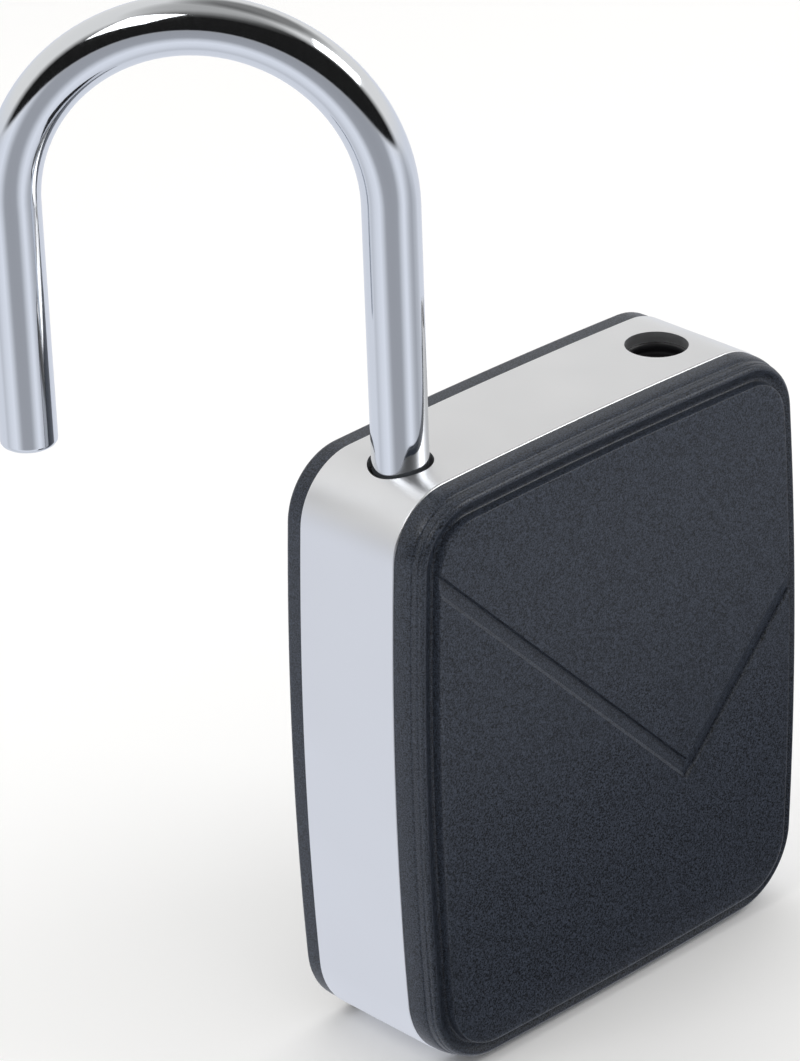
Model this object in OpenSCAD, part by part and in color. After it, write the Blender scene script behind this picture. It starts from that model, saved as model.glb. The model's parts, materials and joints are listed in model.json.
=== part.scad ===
// Rectangular padlock with a lifting, swinging round shackle and a disc tumbler plug.
// The band lies in the XZ plane, the front cover faces -Y, and the key enters from below.
// It is drawn open: the shackle is lifted and swung round, and the bolt is drawn back.

/* [Block] */
// Width of the block across its bowed sides
body_w = 77.8; // [70:0.1:95]
// Height of the block from its lowest to its highest point
body_h = 90.6; // [86:0.1:110]
// Thickness of the metal block between the covers
band_t = 18.4; // [17.6:0.1:24]
// How far the long sides bow outwards over their height
side_bow = 1.9; // [0.5:0.1:3]
// How far the top and bottom bow outwards over their width
end_bow = 0.75; // [0.3:0.05:2]
// Radius of the two top corners
top_corner_r = 10; // [6:0.5:14]
// Radius of the two bottom corners
bottom_corner_r = 12; // [6:0.5:16]

/* [Covers] */
// Thickness of the front cover at its rim
front_rim_t = 5.5; // [4:0.1:7]
// Height of the front cover's raised panel above its valley
panel_rise = 1.0; // [0.4:0.1:1.5]
// Width of the sloping edge round the raised panel
panel_slope = 0.6; // [0.3:0.1:1.5]
// Thickness of the back cover
back_cover_t = 3.0; // [2.2:0.1:6]
// Width and height of the bevel round the back cover
back_bevel = 0.8; // [0.4:0.1:1.6]
// Width of the front cover's rim
rim_w = 1.6; // [1.2:0.1:3]
// Width and height of the bevel round the front cover's rim
rim_bevel = 0.6; // [0.3:0.1:1]
// Depth of the valley below the rim
valley_depth = 0.6; // [0.3:0.1:1]
// Width of the valley between the rim and the raised panel
valley_w = 1.4; // [0.8:0.1:3]
// Sideways place of the V channel's point, towards the toe leg
v_point_x = 13.2; // [-16:0.1:16]
// Height of the V channel's point above the bottom
v_point_z = 31.3; // [20:0.1:40]
// Slope of the V channel's two arms, in degrees
v_slope = 45; // [30:1:50]
// Width of the V channel pressed into the raised panel
channel_w = 2.5; // [1:0.1:4]
// Depth of the V channel
channel_depth = 0.6; // [0.2:0.1:1]

/* [Shackle] */
// Diameter of the shackle bar
bar_d = 8; // [7:0.1:9.6]
// Distance between the centres of the two legs
leg_spacing = 50.8; // [42:0.1:55]
// Centre of the heel leg from the middle of the block
heel_x = -27.0; // [-30:0.1:-25]
// Height of the bend's centre above the block when the shackle is up
bend_rise = 37.3; // [24:0.1:60]
// Gap under the toe leg when the shackle is up
toe_gap = 2.0; // [1:0.1:4]
// How far the shackle lifts
shackle_travel = 16; // [12:0.1:18]
// How far round the open shackle is drawn from its closed direction
open_swing = 131; // [0:1:360]
// Gap all round the bar in the two holes in the top of the block
hole_gap = 0.6; // [0.5:0.1:0.9]

/* [Heel leg] */
// Diameter of the neck and of the locking groove
neck_d = 4.8; // [4:0.1:6]
// Height of the collar at the foot of the heel leg
collar_h = 4; // [3:0.1:6]
// Height of the full-size shoulder between the neck and the locking groove
shoulder_h = 4; // [3:0.1:6]
// Diameter of the pin that keeps the heel leg in the block
retaining_pin_d = 3; // [2.5:0.1:4]
// Height above the bottom at which the heel bore ends
heel_floor = 14; // [8:0.5:18]
// Wire diameter of the shackle spring
spring_wire_d = 1.1; // [0.8:0.05:1.3]
// Number of turns of the shackle spring
spring_turns = 9; // [6:1:12]

/* [Bolt] */
// Height of the middle of the bolt above the bottom
bolt_z = 66; // [65:0.1:68]
// Height of the bolt
bolt_h = 4.4; // [3.5:0.1:5]
// Depth of the bolt from front to back
bolt_t = 6; // [5:0.1:7]
// Gap between the drawn-back bolt and the shackle bar
bolt_gap = 0.7; // [0.4:0.05:0.9]
// Diameter of the cam's driving pin
cam_pin_d = 3; // [2.5:0.1:3.2]

/* [Key plug] */
// Diameter of the housing that holds the plug
housing_d = 14; // [13.5:0.1:14.6]
// Diameter of the plug
plug_d = 11; // [9.1:0.1:11.2]
// Length of the plug's body behind its face disc
plug_l = 38; // [36:0.1:42]
// Distance from one disc to the next
disc_pitch = 5.2; // [4:0.1:5.4]
// Thickness of each disc
disc_t = 1.6; // [1:0.1:2]
// Width of the spring ear on each disc
ear_w = 1.5; // [1.4:0.05:1.6]
// How far a disc springs out of the plug
disc_travel = 0.9; // [0.6:0.05:0.95]
// Width of the key slot
key_w = 2.2; // [1.5:0.1:2.4]
// Height of the key slot
key_h = 7.4; // [6:0.1:7.6]

/* [Fits] */
// Radial clearance of parts that turn or slide in each other
running = 0.06; // [0.03:0.01:0.1]
// Radial clearance of parts that are pressed or screwed together
seat = 0.02; // [0.01:0.01:0.05]
// Free space left round parts that must not touch
free = 0.3; // [0.2:0.05:0.5]

/* [Hidden] */
$fn = 96;
nudge = 0.01;
corner_steps = 12;
side_steps = 16;
top_steps = 16;
// How far a cut runs past a face, or a joined shape into its neighbour.
past = 1;

// Block outline: two bowed sides, a bowed top and bottom, and arcs that touch them.
side_bow_r = (pow(body_h / 2, 2) + pow(side_bow, 2)) / (2 * side_bow);
end_bow_r = (pow(body_w / 2, 2) + pow(end_bow, 2)) / (2 * end_bow);
side_centre = [body_w / 2 - side_bow_r, body_h / 2];
top_centre = [0, body_h - end_bow_r];
bottom_centre = [0, end_bow_r];
front_y = -band_t / 2;
back_y = band_t / 2;

// Places along the shackle's heel leg, with the shackle up.
bar_r = bar_d / 2;
neck_r = neck_d / 2;
toe_x = heel_x + leg_spacing;
top_hole_r = bar_r + hole_gap;
groove_h = bolt_h + 2 * free;
neck_h = shackle_travel + retaining_pin_d + 2 * free;
groove_low = bolt_z - groove_h / 2 + shackle_travel;
neck_low = groove_low - shoulder_h - neck_h;
heel_end = neck_low - collar_h;
bend_z = body_h + bend_rise;
toe_end = body_h + toe_gap;
end_chamfer = 0.8;

// Bores and sleeves for the shackle.
lower_bore_r = bar_r + running;
bolt_roof = 3.3;
sleeve_z = bolt_z + bolt_h / 2 + bolt_roof;
sleeve_recess = 1.6;
seal_h = 1.6;
sleeve_r = top_hole_r - seat;
hole_top = body_h - end_bow_r + sqrt(pow(end_bow_r, 2) - pow(heel_x, 2));
toe_hole_spare = 4;
toe_hole_depth = shackle_travel - toe_gap + toe_hole_spare;
pin_x = heel_x - neck_r - retaining_pin_d / 2 - free;
pin_z = neck_low + free + retaining_pin_d / 2;
pin_web = 3;
pin_l = band_t - pin_web;
cap_h = 2.4;
cap_gap = 0.1;
cap_spigot_h = 3;
cap_low = heel_end - cap_gap - cap_h;
spring_clear = 0.45;
spigot_clear = 0.2;
spring_r = bar_r - spring_clear - spring_wire_d / 2;
coil_step = 30;
wire_sides = 6;
end_coil = 1.02;

// Ribbed liner of the toe hole.
toe_liner_r = bar_r + free / 2;
toe_liner_top = hole_top - sleeve_recess;
toe_liner_low = hole_top - toe_hole_depth + seat;
rib_pitch = 2.2;
rib_h = 0.9;
rib_lead = 0.9;
rib_depth = 0.16;
rib_count = floor((toe_liner_top - toe_liner_low - past) / rib_pitch);

// Bolt, cam and plug.
bolt_travel = bar_r + bolt_gap - neck_r - free;
throw_r = bolt_travel / sqrt(2);
bolt_tip_out = heel_x + neck_r + free;
bolt_tip_in = bolt_tip_out + bolt_travel;
bolt_low = bolt_z - bolt_h / 2;
cam_x = throw_r * cos(45);
cam_y = throw_r * sin(45);
yoke_lead = 5;
yoke_trail = 4.6;
yoke_lip = 0.6;
yoke_bulge = 1.8;
yoke_x = [cam_x - yoke_lead, cam_x + yoke_trail];
yoke_y = [-bolt_t / 2 - yoke_lip, bolt_t / 2 + yoke_bulge];
slot_clear = 0.15;
channel_h = bolt_h + 2 * free;
plate_t = 2;
plate_margin = 3.4;
plate_wall = 0.6;
plate_screw_inset = [1.8, 1.7];
plate_x = [heel_x + top_hole_r + plate_wall, yoke_x[1] + plate_margin];
plate_z = [bolt_z - channel_h / 2 - plate_margin, bolt_z + channel_h / 2 + plate_margin];
disc_count = 6;
housing_r = housing_d / 2;
plug_r = plug_d / 2 - running;
face_low = 1.6;
face_t = 1.6;
plug_low = face_low + face_t;
plug_top = plug_low + plug_l;
housing_roof = 1.2;
housing_top = plug_top + housing_roof;
key_end_wall = 2;
tail_d = 6;
tail_flat = 4.6;
clip_t = 0.8;
clip_gap = 0.03;
clip_groove = 0.6;
clip_r = 5;
clip_mouth = 4;
clip_z = housing_top + 0.1;
cam_low = clip_z + clip_t + free;
cam_d = 11.6;
cam_pin_reach = 3;
cam_top = bolt_low - cam_pin_reach;
cam_web = 4;
tail_top = cam_top - cam_web - free;
cross_pin_z = (cam_low + tail_top) / 2;
cross_pin_d = 1.6;
cross_pin_sink = 0.2;
first_disc = 4;
first_disc_z = plug_low + first_disc;
disc_end_r = plug_r - 0.05;
ear_y = 0.8;
ear_t = 1;
ear_margin = 0.4;
disc_w = 2 * (sqrt(pow(plug_r, 2) - pow(ear_y + ear_t, 2)) - ear_margin - ear_w);
pocket_floor_y = -3.2;
disc_spring_r = 0.5;
disc_wire_d = 0.3;
disc_spring_turns = 5;
disc_coil_step = 45;
disc_wire_sides = 5;
window_side = 0.3;
window_cut = 1.4;
window_w = key_w + 2 * window_side;
window_h = key_h - window_cut;
disc_steps = [0.4, -0.2, 0.6, -0.6, 0.2, -0.4];
disc_colour = "#c4a75a";
bezel_low = 0.3;
bezel_lip = 0.7;
bezel_gap = 0.1;
face_gap = 0.05;

// Fasteners.
screw_d = 3;
screw_head_d = 5.4;
screw_head_h = 2.4;
boss_d = 6;
boss_h = 4.5;
socket_r = 1.4;
socket_h = 1.2;
screw_inset = 11;
low_screw_x = 16;
cover_screws = [[heel_x + 13, body_h - screw_inset], [toe_x - 11.8, body_h - screw_inset],
    [-low_screw_x, screw_inset], [low_screw_x, screw_inset]];
peg_d = 4;
peg_h = 4;
peg_x = 18.5;
low_peg_z = 30;
high_peg_z = bolt_z - 4;
cover_pegs = [[-peg_x, low_peg_z], [peg_x, low_peg_z], [-peg_x, high_peg_z], [peg_x + 13, high_peg_z]];
plate_screw_d = 2;
plate_screw_l = 6;
plate_screw_sink = 0.1;
plate_screw_places = [for (x = [plate_x[0] + plate_screw_inset[0], plate_x[1] - plate_screw_inset[0]])
    for (z = [plate_z[0] + plate_screw_inset[1], plate_z[1] - plate_screw_inset[1]]) [x, z]];
housing_screw_z = 25;
housing_screw_bite = 0.5;

// Front cover: valley, raised panel and V channel.
panel_inset = rim_w + valley_w;
valley_y = front_y - front_rim_t + valley_depth;
panel_y = valley_y - panel_rise;
v_reach = body_w / 2 - panel_inset + past;

// Where two circles meet, on the side given by turn (1 or -1).
function meet(o1, r1, o2, r2, turn) =
    let (d = norm(o2 - o1), u = (o2 - o1) / d)
    let (along = (r1 * r1 - r2 * r2 + d * d) / (2 * d))
    let (off = sqrt(r1 * r1 - along * along))
    o1 + along * u + turn * off * [-u[1], u[0]];

// Points of an arc from angle a0 to a1.
function arc(c, r, a0, a1, steps) =
    [for (i = [0:steps]) let (a = a0 + (a1 - a0) * i / steps) c + r * [cos(a), sin(a)]];

function angle_of(v) = atan2(v[1], v[0]);

function mirrored(points) = [for (i = [len(points) - 1:-1:0]) [-points[i][0], points[i][1]]];

top_corner_c = meet(top_centre, end_bow_r - top_corner_r, side_centre, side_bow_r - top_corner_r, -1);
bottom_corner_c = meet(bottom_centre, end_bow_r - bottom_corner_r, side_centre,
    side_bow_r - bottom_corner_r, 1);

// Right half of the outline from the bottom's middle to the top's middle, moved inwards by inset.
function half_outline(inset) =
    let (low_end = angle_of(bottom_corner_c - bottom_centre))
    let (low_side = angle_of(bottom_corner_c - side_centre))
    let (high_side = angle_of(top_corner_c - side_centre))
    let (high_end = angle_of(top_corner_c - top_centre))
    concat(
        arc(bottom_centre, end_bow_r - inset, -90, low_end, top_steps),
        arc(bottom_corner_c, bottom_corner_r - inset, low_end, low_side, corner_steps),
        arc(side_centre, side_bow_r - inset, low_side, high_side, side_steps),
        arc(top_corner_c, top_corner_r - inset, high_side, high_end, corner_steps),
        arc(top_centre, end_bow_r - inset, high_end, 90, top_steps)
    );

// Leaves out a point that repeats the one before it.
function distinct(points) =
    [for (i = [0:len(points) - 1]) if (i == 0 || norm(points[i] - points[i - 1]) > nudge / 10) points[i]];

function outline(inset) =
    let (right = distinct(half_outline(inset)))
    let (left = mirrored(right))
    concat(right, [for (i = [1:len(left) - 2]) left[i]]);

// A slab with the block's outline, from y0 back to y1.
module slab(inset, y0, y1) {
    translate([0, y1, 0])
        rotate([90, 0, 0])
            linear_extrude(height = y1 - y0)
                polygon(outline(inset));
}

// A straight round bar along Y from y0 to y1, at x and z.
module bar_y(x, z, r, y0, y1) {
    translate([x, y1, z])
        rotate([90, 0, 0])
            cylinder(h = y1 - y0, r = r);
}

module bar_z(x, y, r, z0, z1) {
    translate([x, y, z0])
        cylinder(h = z1 - z0, r = r);
}

module box(x, y, z) {
    translate([x[0], y[0], z[0]])
        cube([x[1] - x[0], y[1] - y[0], z[1] - z[0]]);
}

module ring_z(x, y, outer, inner, z0, z1) {
    difference() {
        bar_z(x, y, outer, z0, z1);
        bar_z(x, y, inner, z0 - nudge, z1 + nudge);
    }
}

// Channel for the bolt, its yoke and its guide, open to the front of the block.
module bolt_channel() {
    low = bolt_z - channel_h / 2;
    high = bolt_z + channel_h / 2;
    box([heel_x, yoke_x[0] - free - bolt_travel], [front_y - nudge, bolt_t / 2 + free], [low, high]);
    box([yoke_x[0] - free - bolt_travel - nudge, yoke_x[1] + free], [front_y - nudge, yoke_y[1] + free],
        [low, high]);
}

module body_block() color("#d4d7da") {
    difference() {
        slab(0, front_y, back_y);
        bar_z(heel_x, 0, lower_bore_r, heel_floor, body_h + past);
        bar_z(heel_x, 0, top_hole_r, sleeve_z, body_h + past);
        bar_z(toe_x, 0, top_hole_r, hole_top - toe_hole_depth, body_h + past);
        bar_z(0, 0, housing_r + seat, -past, housing_top + nudge);
        bar_z(0, 0, cam_d / 2 + free, housing_top, bolt_z);
        bolt_channel();
        box(plate_x, [front_y - past, front_y + plate_t], plate_z);
        for (p = plate_screw_places)
            bar_y(p[0], p[1], plate_screw_d / 2 + seat, front_y, front_y + plate_t + plate_screw_l);
        bar_y(pin_x, pin_z, retaining_pin_d / 2 + seat, back_y - pin_l, back_y + past);
        bar_y(0, housing_screw_z, screw_d / 2 + seat, 0, back_y + past);
        for (p = cover_screws) {
            bar_y(p[0], p[1], boss_d / 2 + free, front_y - past, front_y + boss_h + free);
            bar_y(p[0], p[1], screw_d / 2 + free, front_y, back_y);
            bar_y(p[0], p[1], screw_head_d / 2 + free, back_y - screw_head_h - free, back_y + past);
        }
        for (p = cover_pegs)
            bar_y(p[0], p[1], peg_d / 2 + seat, back_y - peg_h - free, back_y + past);
    }
}

// A cover with a bevelled rim, between y0 at the block and y1 on the outside.
module cover_shell(y0, y1, bevel) {
    out = sign(y1 - y0);
    near = y1 - out * bevel;
    hull() {
        slab(0, min(y0, near), max(y0, near));
        slab(bevel, min(y1, y1 - out * nudge), max(y1, y1 - out * nudge));
    }
}

// The V channel: two straight arms from its point to the panel's sides.
module v_channel(y0, y1) {
    half_h = channel_w / 2 / cos(v_slope);
    left_z = v_point_z + (v_point_x + v_reach) * tan(v_slope);
    right_z = v_point_z + (v_reach - v_point_x) * tan(v_slope);
    translate([0, y1, 0])
        rotate([90, 0, 0])
            linear_extrude(height = y1 - y0)
                polygon([[v_point_x, v_point_z - half_h], [v_reach, right_z - half_h],
                    [v_reach, right_z + half_h], [v_point_x, v_point_z + half_h],
                    [-v_reach, left_z + half_h], [-v_reach, left_z - half_h]]);
}

module front_cover() color("#33363c") {
    difference() {
        union() {
            difference() {
                cover_shell(front_y, front_y - front_rim_t, rim_bevel);
                slab(rim_w, front_y - front_rim_t - past, valley_y);
            }
            hull() {
                slab(panel_inset, valley_y, valley_y + past);
                slab(panel_inset + panel_slope, panel_y, panel_y + nudge);
            }
            for (p = cover_screws)
                bar_y(p[0], p[1], boss_d / 2, front_y - past, front_y + boss_h);
        }
        v_channel(panel_y - past, panel_y + channel_depth);
        for (p = cover_screws)
            bar_y(p[0], p[1], screw_d / 2 + seat, front_y - past, front_y + boss_h + past);
    }
}

module back_cover() color("#33363c") {
    cover_shell(back_y, back_y + back_cover_t, back_bevel);
    for (p = cover_pegs)
        bar_y(p[0], p[1], peg_d / 2, back_y - peg_h, back_y + past);
}

module front_cover_screws() color("#8a8d90") {
    for (p = cover_screws) {
        difference() {
            union() {
                bar_y(p[0], p[1], screw_d / 2, front_y - past + free, back_y - screw_head_h);
                bar_y(p[0], p[1], screw_head_d / 2, back_y - screw_head_h - nudge, back_y - free);
            }
            translate([p[0], back_y - free + nudge, p[1]])
                rotate([90, 0, 0])
                    cylinder(h = socket_h, r = socket_r, $fn = 6);
        }
    }
}

module heel_seal() color("#1a1a1c") {
    ring_z(heel_x, 0, sleeve_r, bar_r + running, hole_top - sleeve_recess - seal_h, hole_top - sleeve_recess);
}

module heel_bush() color("#2b2b2e") {
    ring_z(heel_x, 0, sleeve_r, bar_r + running, sleeve_z + seat, hole_top - sleeve_recess - seal_h - seat);
}

module toe_liner() color("#1a1a1c") {
    difference() {
        ring_z(toe_x, 0, sleeve_r, toe_liner_r, toe_liner_low, toe_liner_top);
        for (i = [0:rib_count - 1]) {
            z = toe_liner_top - rib_lead - i * rib_pitch;
            bar_z(toe_x, 0, toe_liner_r + rib_depth, z - rib_h, z);
        }
    }
}

module retaining_pin() color("#b8b8b4") {
    bar_y(pin_x, pin_z, retaining_pin_d / 2, back_y - pin_l + free, back_y - free);
}

// The shackle in its closed direction, up at its full height, with the heel leg on Z.
module shackle_bar() {
    rotate_extrude()
        polygon([[0, heel_end], [bar_r - end_chamfer, heel_end], [bar_r, heel_end + end_chamfer],
            [bar_r, neck_low], [neck_r, neck_low], [neck_r, neck_low + neck_h],
            [bar_r, neck_low + neck_h], [bar_r, groove_low], [neck_r, groove_low],
            [neck_r, groove_low + groove_h], [bar_r, groove_low + groove_h], [bar_r, bend_z], [0, bend_z]]);
    translate([leg_spacing, 0, 0])
        rotate_extrude()
            polygon([[0, toe_end], [bar_r - end_chamfer, toe_end], [bar_r, toe_end + end_chamfer],
                [bar_r, bend_z], [0, bend_z]]);
    translate([leg_spacing / 2, 0, bend_z])
        rotate([90, 0, 0])
            rotate_extrude(angle = 180)
                translate([leg_spacing / 2, 0])
                    circle(r = bar_r);
}

module shackle() color("#c9ccd2") {
    translate([heel_x, 0, 0])
        rotate([0, 0, open_swing])
            shackle_bar();
}

module spring_cap() color("#b08d3f") {
    bar_z(heel_x, 0, bar_r - running, cap_low, cap_low + cap_h);
    bar_z(heel_x, 0, spring_r - spring_wire_d / 2 - spigot_clear, cap_low - cap_spigot_h, cap_low + nudge);
}

// A point on a spring's helix, whose first and last turns lie close together.
function coil_point(r, turns, low, high, wire_d, i, n) =
    let (t = i / n, a = t * turns * 360)
    let (rise = min(1, max(0, (t * turns - 1) / (turns - 2))))
    let (closed = min(1, t * turns) + max(0, (t - 1) * turns + 1))
    let (open_h = high - low - wire_d * (1 + 2 * end_coil))
    [r * cos(a), r * sin(a), low + wire_d / 2 + closed * wire_d * end_coil + rise * open_h];

// A coil spring along Z, swept as rings of wire.
module coil(r, turns, low, high, wire_d, step, sides) {
    n = round(turns * 360 / step);
    rings = [for (i = [0:n])
        let (c = coil_point(r, turns, low, high, wire_d, i, n), a = i / n * turns * 360)
        [for (k = [0:sides - 1]) let (b = k * 360 / sides)
            c + wire_d / 2 * [cos(b) * cos(a), cos(b) * sin(a), sin(b)]]];
    points = [for (ring = rings) for (p = ring) p];
    sides_faces = [for (i = [0:n - 1]) for (k = [0:sides - 1]) for (half = [0, 1])
        let (a = i * sides + k, b = a + sides, c = (i + 1) * sides + (k + 1) % sides)
        half == 0 ? [a, b, c] : [a, c, c - sides]];
    first = [for (k = [0:sides - 1]) k];
    last = [for (k = [sides - 1:-1:0]) n * sides + k];
    polyhedron(points, concat(sides_faces, [first], [last]), convexity = 8);
}

module shackle_spring() color("#9a9da1") {
    translate([heel_x, 0, 0])
        coil(spring_r, spring_turns, heel_floor + seat, cap_low - seat, spring_wire_d, coil_step, wire_sides);
}

module lock_bolt() color("#c2b280") {
    difference() {
        union() {
            box([bolt_tip_in, cam_x], [-bolt_t / 2, bolt_t / 2], [bolt_low, bolt_low + bolt_h]);
            box(yoke_x, yoke_y, [bolt_low, bolt_low + bolt_h]);
        }
        box([cam_x - cam_pin_d / 2 - slot_clear, cam_x + cam_pin_d / 2 + slot_clear],
            [cam_y - cam_pin_d / 2 - slot_clear, throw_r + cam_pin_d / 2 + slot_clear],
            [bolt_low - past, bolt_low + bolt_h + past]);
    }
}

// Plate in the front of the block, with a tongue that guides the bolt.
module bolt_plate() color("#9a9da1") {
    tongue_y = yoke_y[0] - free;
    difference() {
        union() {
            box([plate_x[0] + seat, plate_x[1] - seat], [front_y + seat, front_y + plate_t],
                [plate_z[0] + seat, plate_z[1] - seat]);
            box([plate_x[0] + free, yoke_x[1]], [front_y + plate_t - nudge, tongue_y],
                [bolt_low, bolt_low + bolt_h]);
        }
        for (p = plate_screw_places)
            bar_y(p[0], p[1], plate_screw_d / 2 + seat, front_y - past, front_y + plate_t + past);
    }
}

module bolt_plate_screws() color("#6f7275") {
    for (p = plate_screw_places)
        bar_y(p[0], p[1], plate_screw_d / 2, front_y + plate_screw_sink,
            front_y + plate_t + plate_screw_l - free);
}

// The tail's section: a round bar with two flats.
module tail(clear, z0, z1) {
    intersection() {
        bar_z(0, 0, tail_d / 2 + clear, z0, z1);
        box([-tail_d, tail_d], [-tail_flat / 2 - clear, tail_flat / 2 + clear], [z0 - past, z1 + past]);
    }
}

module drive_cam() color("#a7a39a") {
    difference() {
        bar_z(0, 0, cam_d / 2, cam_low, cam_top);
        tail(seat, cam_low - past, tail_top + free);
        translate([-cam_d, 0, cross_pin_z])
            rotate([0, 90, 0])
                cylinder(h = 2 * cam_d, r = cross_pin_d / 2 + seat);
    }
    bar_z(cam_x, cam_y, cam_pin_d / 2, cam_top - nudge, bolt_low + bolt_h);
}

module cam_cross_pin() color("#8a8d90") {
    translate([-cam_d / 2 + cross_pin_sink, 0, cross_pin_z])
        rotate([0, 90, 0])
            cylinder(h = cam_d - 2 * cross_pin_sink, r = cross_pin_d / 2);
}

function disc_z(i) = first_disc_z + i * disc_pitch;

// Brass shell with four grooves, so that the discs spring out at both ends of the plug's turn.
module plug_housing() color("#b99b4a") {
    groove_w = disc_w + 2 * free;
    groove_r = plug_r + running + disc_travel + free;
    difference() {
        bar_z(0, 0, housing_r, plug_low, housing_top);
        bar_z(0, 0, plug_r + running, plug_low - past, plug_top + face_gap);
        bar_z(0, 0, tail_d / 2 + running, plug_low, housing_top + past);
        intersection() {
            bar_z(0, 0, groove_r, plug_low + first_disc / 2, plug_top - past);
            union() {
                box([-groove_w / 2, groove_w / 2], [-housing_d, housing_d], [0, plug_top]);
                box([-housing_d, housing_d], [-groove_w / 2, groove_w / 2], [0, plug_top]);
            }
        }
        bar_y(0, housing_screw_z, screw_d / 2 + seat, groove_r - free, housing_d);
    }
}

module housing_screw() color("#6f7275") {
    bar_y(0, housing_screw_z, screw_d / 2, housing_r - housing_screw_bite, back_y - free);
}

module keyhole_bezel() color("#9a9da1") {
    ring_z(0, 0, housing_r, plug_r - bezel_lip, bezel_low, face_low - bezel_gap);
}

module key_slot(z0, z1) {
    box([-key_w / 2, key_w / 2], [-key_h / 2, key_h / 2], [z0, z1]);
}

module plug_face() color("#7d8084") {
    difference() {
        bar_z(0, 0, plug_r, face_low, plug_low - face_gap);
        key_slot(0, plug_low + past);
    }
}

module plug() color("#b99b4a") {
    slot_t = disc_t + 2 * running;
    difference() {
        union() {
            bar_z(0, 0, plug_r, plug_low, plug_top);
            tail(0, plug_top - nudge, tail_top);
        }
        key_slot(plug_low - past, plug_top - key_end_wall);
        for (i = [0:disc_count - 1]) {
            slot_z = [disc_z(i) - slot_t / 2, disc_z(i) + slot_t / 2];
            box([-disc_w / 2 - running, disc_w / 2 + running], [-plug_d, plug_d], slot_z);
            box([disc_w / 2, disc_w / 2 + ear_w + 2 * running],
                [pocket_floor_y, ear_y + ear_t + disc_travel + free], slot_z);
        }
        ring_z(0, 0, tail_d, tail_d / 2 - clip_groove, clip_z, clip_z + clip_t);
        translate([-tail_d, 0, cross_pin_z])
            rotate([0, 90, 0])
                cylinder(h = 2 * tail_d, r = cross_pin_d / 2 + seat);
    }
}

module plug_clip() color("#8a8d90") {
    difference() {
        bar_z(0, 0, clip_r, clip_z + clip_gap, clip_z + clip_t - clip_gap);
        bar_z(0, 0, tail_d / 2 - clip_groove + seat, clip_z - past, clip_z + clip_t + past);
        box([0, cam_d], [-clip_mouth / 2, clip_mouth / 2], [clip_z - past, clip_z + clip_t + past]);
    }
}

// One disc tumbler: a round plate with two flats, a key window and a spring ear.
module disc(i) {
    shift = disc_steps[i % len(disc_steps)];
    translate([0, 0, disc_z(i) - disc_t / 2]) {
        difference() {
            union() {
                intersection() {
                    cylinder(h = disc_t, r = disc_end_r);
                    translate([-disc_w / 2, -plug_d, 0])
                        cube([disc_w, 2 * plug_d, disc_t]);
                }
                translate([0, ear_y, 0])
                    cube([disc_w / 2 + ear_w, ear_t, disc_t]);
            }
            translate([-window_w / 2, shift - window_h / 2, -past])
                cube([window_w, window_h, disc_t + 2 * past]);
        }
    }
}

module disc_springs() color("#9a9da1") {
    for (i = [0:disc_count - 1])
        translate([disc_w / 2 + ear_w / 2 + running, 0, disc_z(i)])
            rotate([-90, 0, 0])
                coil(disc_spring_r, disc_spring_turns, pocket_floor_y + seat, ear_y - seat, disc_wire_d,
                    disc_coil_step, disc_wire_sides);
}

module disc_1() color(disc_colour) disc(0);
module disc_2() color(disc_colour) disc(1);
module disc_3() color(disc_colour) disc(2);
module disc_4() color(disc_colour) disc(3);
module disc_5() color(disc_colour) disc(4);
module disc_6() color(disc_colour) disc(5);

body_block();
front_cover();
back_cover();
front_cover_screws();
heel_seal();
heel_bush();
toe_liner();
retaining_pin();
shackle();
spring_cap();
shackle_spring();
lock_bolt();
bolt_plate();
bolt_plate_screws();
drive_cam();
cam_cross_pin();
plug_housing();
housing_screw();
keyhole_bezel();
plug();
plug_face();
plug_clip();
disc_springs();
disc_1();
disc_2();
disc_3();
disc_4();
disc_5();
disc_6();
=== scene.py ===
import json
from math import atan2, cos, pi, radians, sin, sqrt

import bmesh
import bpy
from mathutils import Matrix, Vector


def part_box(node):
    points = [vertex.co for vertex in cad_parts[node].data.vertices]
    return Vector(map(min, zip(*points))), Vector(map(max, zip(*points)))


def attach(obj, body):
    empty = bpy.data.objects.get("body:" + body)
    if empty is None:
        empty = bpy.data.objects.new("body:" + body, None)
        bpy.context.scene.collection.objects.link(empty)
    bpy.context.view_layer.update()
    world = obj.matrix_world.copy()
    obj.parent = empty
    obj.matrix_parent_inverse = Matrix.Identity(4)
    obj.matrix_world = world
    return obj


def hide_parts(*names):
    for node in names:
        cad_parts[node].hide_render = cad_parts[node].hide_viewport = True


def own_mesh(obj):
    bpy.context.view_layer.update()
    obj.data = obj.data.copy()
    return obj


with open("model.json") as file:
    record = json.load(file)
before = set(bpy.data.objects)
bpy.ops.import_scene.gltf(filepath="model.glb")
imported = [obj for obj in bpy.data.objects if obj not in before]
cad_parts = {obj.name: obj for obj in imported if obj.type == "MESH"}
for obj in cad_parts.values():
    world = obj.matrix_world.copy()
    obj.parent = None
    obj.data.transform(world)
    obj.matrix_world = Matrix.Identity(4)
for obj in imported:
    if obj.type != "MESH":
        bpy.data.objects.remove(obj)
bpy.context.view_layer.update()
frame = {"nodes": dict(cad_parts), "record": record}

bl_info = {
    "name": "Disc Padlock",
    "version": (1, 0, 0),
    "blender": (4, 5, 0),
    "location": "View3D > Sidebar > Padlock",
    "description": "Builds the finished surfaces of a disc padlock round its packed model",
    "category": "Add Mesh",
}

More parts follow.
